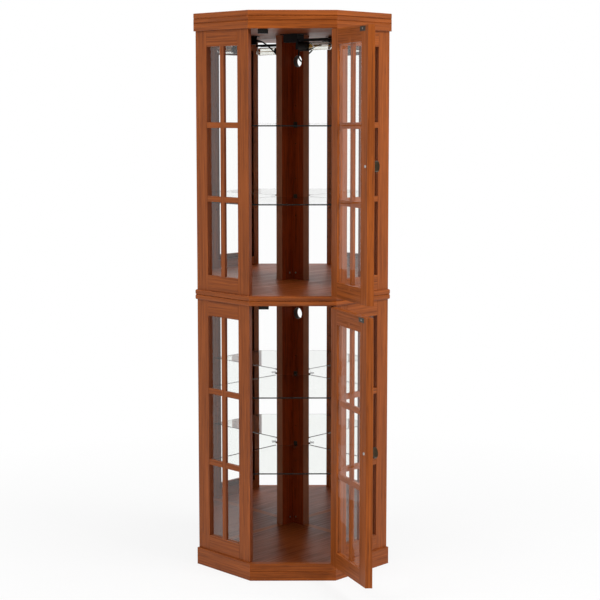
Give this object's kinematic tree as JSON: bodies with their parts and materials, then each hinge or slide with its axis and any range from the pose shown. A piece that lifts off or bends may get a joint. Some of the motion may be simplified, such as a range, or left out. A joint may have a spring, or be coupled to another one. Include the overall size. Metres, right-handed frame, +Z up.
{
  "type": "corner curio cabinet",
  "caption": "Tall corner display cabinet with glazed sides and doors, mirrored back, glass shelves and a lamp, in two stacked units on a plinth under a crown.",
  "frame": {"origin": "middle of the underside of the plinth front board, where the cabinet meets the floor at its front", "axes": "+Z up, +Y from the doors towards the corner of the room, +X to the right as seen from the front"},
  "size_m": [0.6318, 0.7393, 1.8],
  "materials": {
    "cherry_laminate": "printed cherry wood grain under a satin lacquer film",
    "dark_laminate": "dark walnut grain film, satin",
    "mirror": "silvered float glass with a painted back",
    "shelf_glass": "clear float glass, polished edges",
    "window_glass": "clear float glass",
    "shelf_support_steel": "dark bronze lacquer",
    "black_nickel": "polished black nickel plate",
    "zinc_steel": "zinc-plated steel",
    "hinge_steel": "nickel-plated steel strip",
    "black_plastic": "moulded black ABS",
    "rocker_plastic": "glossy black polycarbonate",
    "black_enamel": "black stove enamel on steel",
    "phenolic": "black moulded phenolic",
    "bulb_glass": "thin clear bulb glass",
    "brass": "bright brass shell",
    "filament": "fine coiled wire, warm tone",
    "cord_pvc": "soft black PVC",
    "blade_steel": "nickel-plated blades"
  },
  "bodies": {
    "cabinet": {"bulb_cap": "brass", "bulb_filament": "filament", "bulb_glass": "bulb_glass", "cabinet_screws": "zinc_steel", "catch_bodies": "black_plastic", "catch_plates": "zinc_steel", "ceiling_panel": "cherry_laminate", "crown_back_rails": "cherry_laminate", "crown_front_rail": "cherry_laminate", "crown_side_rails": "cherry_laminate", "frame_hinge_leaves": "hinge_steel", "hinge_pins": "hinge_steel", "lamp_bracket": "black_enamel", "lampholder": "phenolic", "lower_floor_panel": "cherry_laminate", "lower_left_frame": "cherry_laminate", "lower_left_mirror": "mirror", "lower_left_post_board": "dark_laminate", "lower_right_frame": "cherry_laminate", "lower_right_mirror": "mirror", "lower_right_post_board": "dark_laminate", "lower_top_panel": "cherry_laminate", "mains_plug": "cord_pvc", "plinth_back_boards": "cherry_laminate", "plinth_front_board": "cherry_laminate", "plinth_lip": "cherry_laminate", "plinth_side_boards": "cherry_laminate", "plug_blades": "blade_steel", "power_cord": "cord_pvc", "shelf_supports": "shelf_support_steel", "side_glazing_bars": "cherry_laminate", "side_panes": "window_glass", "switch_body": "black_plastic", "top_panel": "cherry_laminate", "upper_floor_panel": "cherry_laminate", "upper_left_frame": "cherry_laminate", "upper_left_mirror": "mirror", "upper_left_post_board": "dark_laminate", "upper_right_frame": "cherry_laminate", "upper_right_mirror": "mirror", "upper_right_post_board": "dark_laminate"},
    "lower_door": {"lower_door_frame": "cherry_laminate", "lower_door_glazing_bars": "cherry_laminate", "lower_door_hinge_leaves": "hinge_steel", "lower_door_knob": "black_nickel", "lower_door_pane": "window_glass", "lower_door_screws": "zinc_steel", "lower_door_strike_plate": "zinc_steel"},
    "lower_high_shelf": {"lower_high_shelf": "shelf_glass"},
    "lower_low_shelf": {"lower_low_shelf": "shelf_glass"},
    "rocker": {"switch_rocker": "rocker_plastic"},
    "upper_door": {"upper_door_frame": "cherry_laminate", "upper_door_glazing_bars": "cherry_laminate", "upper_door_hinge_leaves": "hinge_steel", "upper_door_knob": "black_nickel", "upper_door_pane": "window_glass", "upper_door_screws": "zinc_steel", "upper_door_strike_plate": "zinc_steel"},
    "upper_high_shelf": {"upper_high_shelf": "shelf_glass"},
    "upper_low_shelf": {"upper_low_shelf": "shelf_glass"}
  },
  "joints": [
    {"name": "upper_door_hinge", "type": "hinge", "parent": "cabinet", "child": "upper_door", "pos_m": [0.13703, -0.00223, 1.33], "axis": [0, 0, 1], "range_deg": [-113, 47]},
    {"name": "lower_door_hinge", "type": "hinge", "parent": "cabinet", "child": "lower_door", "pos_m": [0.13703, -0.00223, 0.47], "axis": [0, 0, 1], "range_deg": [-113, 47]},
    {"name": "upper_high_shelf_lift", "type": "slide", "parent": "cabinet", "child": "upper_high_shelf", "axis": [0, 0, 1], "range_m": [0, 0.06]},
    {"name": "upper_low_shelf_lift", "type": "slide", "parent": "cabinet", "child": "upper_low_shelf", "axis": [0, 0, 1], "range_m": [0, 0.06]},
    {"name": "lower_high_shelf_lift", "type": "slide", "parent": "cabinet", "child": "lower_high_shelf", "axis": [0, 0, 1], "range_m": [0, 0.06]},
    {"name": "lower_low_shelf_lift", "type": "slide", "parent": "cabinet", "child": "lower_low_shelf", "axis": [0, 0, 1], "range_m": [0, 0.06]},
    {"name": "rocker_tilt", "type": "hinge", "parent": "cabinet", "child": "rocker", "pos_m": [0.0879, 0.46593, 1.13891], "axis": [0.7071, -0.7071, 0], "range_deg": [-14, 0]}
  ]
}
